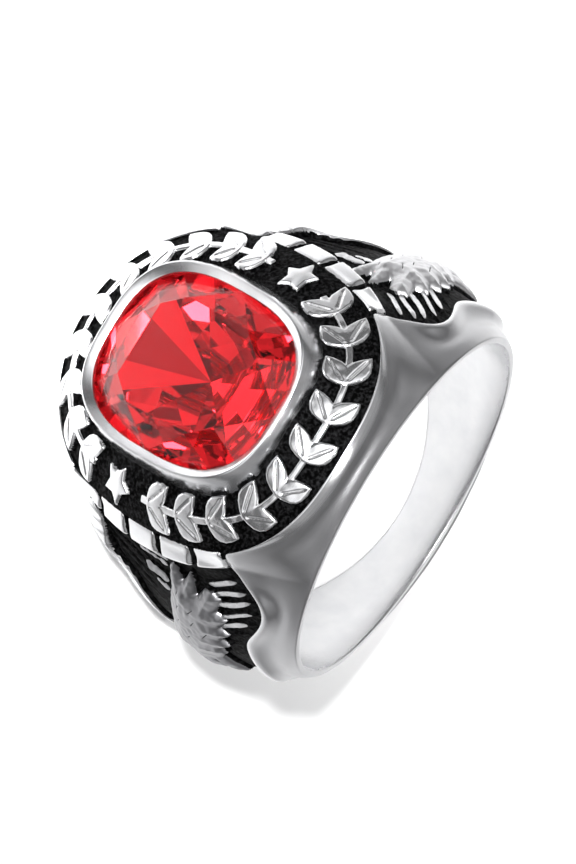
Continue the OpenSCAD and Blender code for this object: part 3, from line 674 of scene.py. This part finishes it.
def bezel():
    """The stone's wall, its lip and the bright bowl under the stone."""
    deep = RIDGE_Z - BEZEL_LOW_Z
    low_z = GIRDLE_LOW_Z - PAVILION_H - STONE_GAP
    brim_z = GIRDLE_LOW_Z - BRIM_DEEP
    # Outline, growth and height of each ring, from the foot over the lip into the bowl
    profile = [
        (WINDOW, LIP_W + BEZEL_SPREAD * deep, RIDGE_Z - deep),
        (WINDOW, LIP_W + BEZEL_SPREAD * 1.4, RIDGE_Z - 1.4),
        (WINDOW, LIP_W + BEZEL_SPREAD * 0.9, RIDGE_Z - 0.9),
        (WINDOW, LIP_W + BEZEL_SPREAD * 0.55 + 0.03, RIDGE_Z - 0.55),
        (WINDOW, LIP_W + BEZEL_SPREAD * 0.3 + 0.04, RIDGE_Z - 0.3),
        (WINDOW, LIP_W + 0.05, RIDGE_Z - 0.1),
        (WINDOW, LIP_W + 0.02, RIDGE_Z - 0.03),
        (WINDOW, LIP_W - 0.03, RIDGE_Z),
        (WINDOW, LIP_W - 0.08, RIDGE_Z - 0.012),
        (WINDOW, LIP_W * 0.5, RIDGE_Z - 0.1),
        (WINDOW, 0.06, RIDGE_Z - LIP_FALL + 0.01),
        (WINDOW, 0.015, RIDGE_Z - LIP_FALL - 0.02),
        (WINDOW, 0.0, RIDGE_Z - LIP_FALL - 0.06),
        (WINDOW, 0.0, GIRDLE_TOP_Z + 0.14),
        (WINDOW, 0.02, GIRDLE_TOP_Z + STONE_GAP),
        (GIRDLE, STONE_GAP, GIRDLE_TOP_Z + STONE_GAP),
        (GIRDLE, STONE_GAP, GIRDLE_LOW_Z - SEAT_STEP),
        (GIRDLE, -0.12, GIRDLE_LOW_Z - SEAT_STEP - 0.02),
        (GIRDLE, -BRIM_IN, brim_z),
    ]
    turns = np.radians(np.linspace(0, 360, BEZEL_TURNS, endpoint=False))
    rings = []
    for shape, grow, z in profile:
        rings.append(np.column_stack([outline(shape, turns, grow), np.full(turns.size, z)]))
    brim = outline(GIRDLE, turns, -BRIM_IN)
    for share in np.linspace(0.86, 0.05, 10):
        z = low_z + (brim_z - low_z) * share ** 1.3
        rings.append(np.column_stack([brim * share, np.full(turns.size, z)]))
    rows, cols = len(rings), BEZEL_TURNS
    caps = [list(range(cols))[::-1], [(rows - 1) * cols + j for j in range(cols)]]
    return make_piece("bezel", np.concatenate(rings), grid_faces(rows, cols, False, True), caps)


# Corners of the cut: the table's on the long and short sides, the girdle's, and the middles of the sides
TABLE_LONG, TABLE_SHORT = (3.14, 2.18), (2.12, 3.59)
GIRDLE_LONG, GIRDLE_SHORT = (3.885, 3.745), (2.92, 5.07)
SIDE_LONG, SIDE_SHORT = (4.8, 0.0), (0.0, 6.0)
CROWN_FOOT_Z = GIRDLE_TOP_Z + 0.15
FLANK_TURN = 24
GIRDLE_TURNS = 64


def plane_of(a, b, c):
    """A cut through three points, whose outside is above it."""
    normal = (b - a).cross(c - a).normalized()
    return a, normal if normal.z > 0 else -normal


def crown_cuts():
    """The planes round the table: at each corner a facet and two stars, and one along each side."""
    table_z = GIRDLE_TOP_Z + CROWN_H
    cuts = []
    for sx in (1, -1):
        for sy in (1, -1):
            def point(p, z):
                return Vector((p[0] * sx, p[1] * sy, z))
            t_long, t_short = point(TABLE_LONG, table_z), point(TABLE_SHORT, table_z)
            g_long, g_short = point(GIRDLE_LONG, CROWN_FOOT_Z), point(GIRDLE_SHORT, CROWN_FOOT_Z)
            s_long, s_short = point(SIDE_LONG, CROWN_FOOT_Z), point(SIDE_SHORT, CROWN_FOOT_Z)
            cuts += [plane_of(t_long, g_long, g_short), plane_of(t_long, g_long, s_long)]
            cuts += [plane_of(t_short, g_short, s_short)]
    for s in (1, -1):
        for table, side, other in ((TABLE_LONG, SIDE_LONG, (1, -1)), (TABLE_SHORT, SIDE_SHORT, (-1, 1))):
            a = Vector((s * table[0], s * table[1], table_z))
            b = Vector((s * table[0] * other[0], s * table[1] * other[1], table_z))
            cuts.append(plane_of(a, b, Vector((s * side[0], s * side[1], CROWN_FOOT_Z))))
    return cuts


def pavilion_cuts():
    """The planes of the pavilion, three to a side, down to a point."""
    dual = GIRDLE[2] / (GIRDLE[2] - 1)
    cuts = []
    for quarter in (0, 90, 180, 270):
        for off in (-FLANK_TURN, 0, FLANK_TURN):
            a = math.radians(quarter + off)
            x, y = math.cos(a), math.sin(a)
            reach = (abs(GIRDLE[0] * x) ** dual + abs(GIRDLE[1] * y) ** dual) ** (1 / dual)
            slope = math.atan(PAVILION_H / reach)
            start = Vector((reach * x, reach * y, GIRDLE_LOW_Z))
            cuts.append((start, Vector((math.sin(slope) * x, math.sin(slope) * y, -math.cos(slope)))))
    return cuts


def stone():
    """The cut stone: a cushion outline cut by the crown's and the pavilion's planes."""
    mesh = bmesh.new()
    rim = outline(GIRDLE, np.radians(np.linspace(0, 360, GIRDLE_TURNS, endpoint=False)))
    low, high = GIRDLE_LOW_Z - PAVILION_H, GIRDLE_TOP_Z + CROWN_H
    rings = [[mesh.verts.new((p[0], p[1], z)) for p in rim] for z in (low, high)]
    n = len(rim)
    for i in range(n):
        mesh.faces.new([rings[0][i], rings[0][(i + 1) % n], rings[1][(i + 1) % n], rings[1][i]])
    mesh.faces.new(rings[0][::-1])
    mesh.faces.new(rings[1])
    for start, normal in crown_cuts() + pavilion_cuts():
        geometry = mesh.verts[:] + mesh.edges[:] + mesh.faces[:]
        cut = bmesh.ops.bisect_plane(mesh, geom=geometry, plane_co=start, plane_no=normal, clear_outer=True)
        edges = [e for e in cut["geom_cut"] if isinstance(e, bmesh.types.BMEdge)]
        if edges:
            bmesh.ops.edgenet_fill(mesh, edges=edges)
    bmesh.ops.remove_doubles(mesh, verts=mesh.verts, dist=0.004)
    bmesh.ops.dissolve_degenerate(mesh, edges=mesh.edges, dist=0.003)
    bmesh.ops.recalc_face_normals(mesh, faces=mesh.faces)
    # The faces of the pavilion are silvered, as a closed-back stone's are
    for face in mesh.faces:
        face.material_index = int(sum(v.co.z for v in face.verts) / len(face.verts) < GIRDLE_LOW_Z - 0.02)
    flat = lay_down(np.array([v.co[:] for v in mesh.verts]))
    for v, co in zip(mesh.verts, flat):
        v.co = co
    data = bpy.data.meshes.new("cut_stone")
    mesh.to_mesh(data)
    mesh.free()
    piece = bpy.data.objects.new("cut_stone", data)
    bpy.context.scene.collection.objects.link(piece)
    return piece


class Nodes:
    """Short way to build a node material."""

    def __init__(self, name):
        self.material = bpy.data.materials.new(name)
        self.material.use_nodes = True
        self.tree = self.material.node_tree
        self.shader = self.tree.nodes["Principled BSDF"]
        self.coords = self.tree.nodes.new("ShaderNodeTexCoord")

    def link(self, output, target):
        self.tree.links.new(output, target)

    def noise(self, scale, detail):
        node = self.tree.nodes.new("ShaderNodeTexNoise")
        node.inputs["Scale"].default_value = scale
        node.inputs["Detail"].default_value = detail
        node.inputs["Roughness"].default_value = 0.6
        self.link(self.coords.outputs["Object"], node.inputs["Vector"])
        return node.outputs["Fac"]

    def spread(self, value, low, high, to_low, to_high):
        node = self.tree.nodes.new("ShaderNodeMapRange")
        node.inputs["From Min"].default_value = low
        node.inputs["From Max"].default_value = high
        node.inputs["To Min"].default_value = to_low
        node.inputs["To Max"].default_value = to_high
        self.link(value, node.inputs["Value"])
        return node.outputs["Result"]

    def maths(self, operation, a, b):
        node = self.tree.nodes.new("ShaderNodeMath")
        node.operation = operation
        for socket, value in zip(node.inputs, (a, b)):
            if isinstance(value, (int, float)):
                socket.default_value = value
            else:
                self.link(value, socket)
        return node.outputs[0]

    def between(self, value, low, high):
        """The middle of a noise's range, spread between two numbers."""
        return self.spread(value, 0.3, 0.7, low, high)

    def cloudy(self, value, a, b):
        """Two colours, mixed by a noise."""
        return self.mix(self.between(value, 0.0, 1.0), a, b)

    def mix(self, factor, a, b):
        node = self.tree.nodes.new("ShaderNodeMix")
        node.data_type = "RGBA"
        for socket, value in ((node.inputs[0], factor), (node.inputs[6], a), (node.inputs[7], b)):
            if isinstance(value, (tuple, list)):
                socket.default_value = (*value, 1.0)
            elif isinstance(value, (int, float)):
                socket.default_value = value
            else:
                self.link(value, socket)
        return node.outputs[2]

    def attribute(self, name):
        node = self.tree.nodes.new("ShaderNodeAttribute")
        node.attribute_name = name
        return node.outputs["Fac"]

    def bump(self, height, strength, distance):
        node = self.tree.nodes.new("ShaderNodeBump")
        node.inputs["Strength"].default_value = strength
        node.inputs["Distance"].default_value = distance
        self.link(height, node.inputs["Height"])
        self.link(node.outputs["Normal"], self.shader.inputs["Normal"])


def steel_material():
    """Polished cast steel, blackened or satin where the mesh's attributes say so, and greyed where they ask
    for painted shade.
    """
    m = Nodes("cast_steel")
    fine, broad = m.noise(5200, 4.0), m.noise(700, 3.0)
    dark = m.attribute("dark")
    satin = m.attribute("satin")
    worn = m.maths("ADD", dark, m.spread(fine, 0.35, 0.65, -0.12, 0.12))
    mask = m.spread(worn, 0.35, 0.6, 0.0, 1.0)
    polished = m.cloudy(broad, (0.76, 0.765, 0.78), (0.86, 0.86, 0.865))
    # Satin finish, whose darker colour is painted shade
    polished = m.mix(satin, polished, (0.66, 0.66, 0.67))
    # Painted shade: greys the polished colour
    polished = m.mix(m.attribute("dull"), polished, (0.27, 0.27, 0.28))
    black = m.mix(m.spread(fine, 0.45, 0.75, 0.0, 1.0), (0.002, 0.002, 0.002), (0.04, 0.04, 0.042))
    m.link(m.mix(mask, polished, black), m.shader.inputs["Base Color"])
    smooth = m.maths("ADD", m.between(broad, 0.13, 0.2), m.maths("MULTIPLY", satin, 0.2))
    rough = m.maths("ADD", smooth, m.maths("MULTIPLY", mask, 0.65))
    m.link(rough, m.shader.inputs["Roughness"])
    m.shader.inputs["Metallic"].default_value = 1.0
    m.bump(m.maths("ADD", fine, m.maths("MULTIPLY", broad, 1.5)), 0.25, 0.00002)
    return m.material


def lip_material():
    """Brightly polished steel for the bezel."""
    m = Nodes("bright_steel")
    fine, broad = m.noise(4200, 3.0), m.noise(500, 2.0)
    m.link(m.cloudy(broad, (0.58, 0.585, 0.6), (0.76, 0.76, 0.77)), m.shader.inputs["Base Color"])
    m.link(m.between(broad, 0.17, 0.25), m.shader.inputs["Roughness"])
    m.shader.inputs["Metallic"].default_value = 1.0
    m.bump(m.maths("ADD", fine, m.maths("MULTIPLY", broad, 2.0)), 0.12, 0.00002)
    return m.material


def glass_material():
    """Clear red glass with faint unevenness."""
    m = Nodes("red_stone")
    colour = m.cloudy(m.noise(260, 2.0), (0.83, 0.011, 0.018), (0.85, 0.018, 0.026))
    m.link(colour, m.shader.inputs["Base Color"])
    m.link(m.between(m.noise(1500, 2.0), 0.0, 0.02), m.shader.inputs["Roughness"])
    m.shader.inputs["Transmission Weight"].default_value = 1.0
    m.shader.inputs["IOR"].default_value = 1.5
    return m.material


def foil_material():
    """Silvering behind the stone."""
    m = Nodes("foil")
    colour = m.cloudy(m.noise(600, 2.0), (0.93, 0.9, 0.9), (0.98, 0.96, 0.96))
    m.link(colour, m.shader.inputs["Base Color"])
    m.link(m.between(m.noise(900, 2.0), 0.0, 0.03), m.shader.inputs["Roughness"])
    m.shader.inputs["Metallic"].default_value = 1.0
    return m.material


def floor_material():
    """Plain pale paper."""
    m = Nodes("pale_floor")
    colour = m.cloudy(m.noise(9, 2.0), (0.88, 0.88, 0.88), (0.9, 0.9, 0.9))
    m.link(colour, m.shader.inputs["Base Color"])
    m.shader.inputs["Roughness"].default_value = 0.9
    return m.material


steel, bright, glass = steel_material(), lip_material(), glass_material()
pieces = [
    (casting(), steel, "ring_body", "steel"),
    (frieze(), steel, "ring_body", "steel"),
    # The last number is how strong the painted shade is on each shoulder
    (shoulder("shoulder_right", 1, 1.0), steel, "ring_body", "steel"),
    (shoulder("shoulder_left", -1, 0.25), steel, "ring_body", "steel"),
    (bezel(), bright, "ring_body", "steel"),
    (stone(), glass, "stone", "red_glass"),
]
for piece, material, node, slot in pieces:
    piece.data.materials.append(material)
    if node == "stone":
        piece.data.materials.append(foil_material())
    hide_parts(node)
    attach(piece, BODY)

# Floor, light and camera
bpy.ops.mesh.primitive_grid_add(x_subdivisions=8, y_subdivisions=8, size=6.0, location=(0, 0, 0))
floor = bpy.context.object
floor.name = "floor"
floor.data.materials.append(floor_material())


def lamp(name, place, aim, power, cone, softness):
    """A soft lamp whose cone ends softly, from a place to its aim in metres."""
    data = bpy.data.lights.new(name, "SPOT")
    data.energy = power
    data.spot_size = math.radians(cone)
    data.spot_blend = 0.4
    data.shadow_soft_size = softness
    light = bpy.data.objects.new(name, data)
    light.location = place
    light.rotation_euler = (Vector(aim) - Vector(place)).to_track_quat("-Z", "Y").to_euler()
    bpy.context.scene.collection.objects.link(light)


lamp("front", (-0.05, -0.3, 0.38), (0, 0.002, 0), 14.0, 8.6, 0.03)
lamp("foreground", (0.12, -0.24, 0.38), (0, -0.021, 0), 15.0, 3.2, 0.01)
lamp("hole", (0, 0.181, 0.425), (0, 0.0026, 0.0053), 7.0, 2.5, 0.01)
lamp("right", (-0.03, 0.03, 0.5), (-0.0105, 0.017, 0), 16.0, 3.3, 0.02)

# Studio walls and ceiling: brightness by height, behind the ring and in front of it
BEHIND = [(0.0, 0.11), (0.22, 0.16), (0.42, 0.32), (0.8, 0.28), (1.0, 0.25)]
IN_FRONT = [(0.0, 0.1), (0.32, 0.15), (0.6, 0.95), (0.82, 1.0), (1.0, 0.28)]
world = bpy.data.worlds.new("studio")
bpy.context.scene.world = world
world.use_nodes = True
sky = world.node_tree
background = sky.nodes["Background"]
coords = sky.nodes.new("ShaderNodeTexCoord")
split = sky.nodes.new("ShaderNodeSeparateXYZ")
sky.links.new(coords.outputs["Generated"], split.inputs[0])
side = sky.nodes.new("ShaderNodeMapRange")
side.inputs["From Min"].default_value = -0.25
side.inputs["From Max"].default_value = 0.25
sky.links.new(split.outputs["Y"], side.inputs["Value"])
blend = sky.nodes.new("ShaderNodeMix")
blend.data_type = "RGBA"
sky.links.new(side.outputs["Result"], blend.inputs[0])
for socket, heights in ((6, IN_FRONT), (7, BEHIND)):
    ramp = sky.nodes.new("ShaderNodeValToRGB")
    for place, value in heights[1:-1]:
        ramp.color_ramp.elements.new(place)
    for element, (place, value) in zip(ramp.color_ramp.elements, heights):
        element.position = place
        element.color = (value, value, value * 1.01, 1)
    sky.links.new(split.outputs["Z"], ramp.inputs[0])
    sky.links.new(ramp.outputs[0], blend.inputs[socket])
sky.links.new(blend.outputs[2], background.inputs["Color"])
background.inputs["Strength"].default_value = 1.25

# The camera stands at the photograph's angle to the ring
CAMERA_AT = Vector((18.43, -233.40, 407.30)) * MM
CAMERA_RIGHT = Vector((-0.52355, 0.72646, 0.44515))
CAMERA_DOWN = Vector((0.85105, 0.47052, 0.23307))
LENS, SENSOR = 368.53, 36
camera_data = bpy.data.cameras.new("camera")
camera_data.lens = LENS
camera_data.sensor_width = SENSOR
camera = bpy.data.objects.new("camera", camera_data)
bpy.context.scene.collection.objects.link(camera)
right = CAMERA_RIGHT.normalized()
back = right.cross(-CAMERA_DOWN).normalized()
up = back.cross(right)
turn = Matrix((right, up, back)).transposed().to_4x4()
camera.matrix_world = Matrix.Translation(CAMERA_AT) @ turn
scene = bpy.context.scene
scene.camera = camera
scene.view_settings.view_transform = "Standard"
scene.cycles.max_bounces = 24
scene.cycles.glossy_bounces = 16
scene.cycles.transmission_bounces = 16
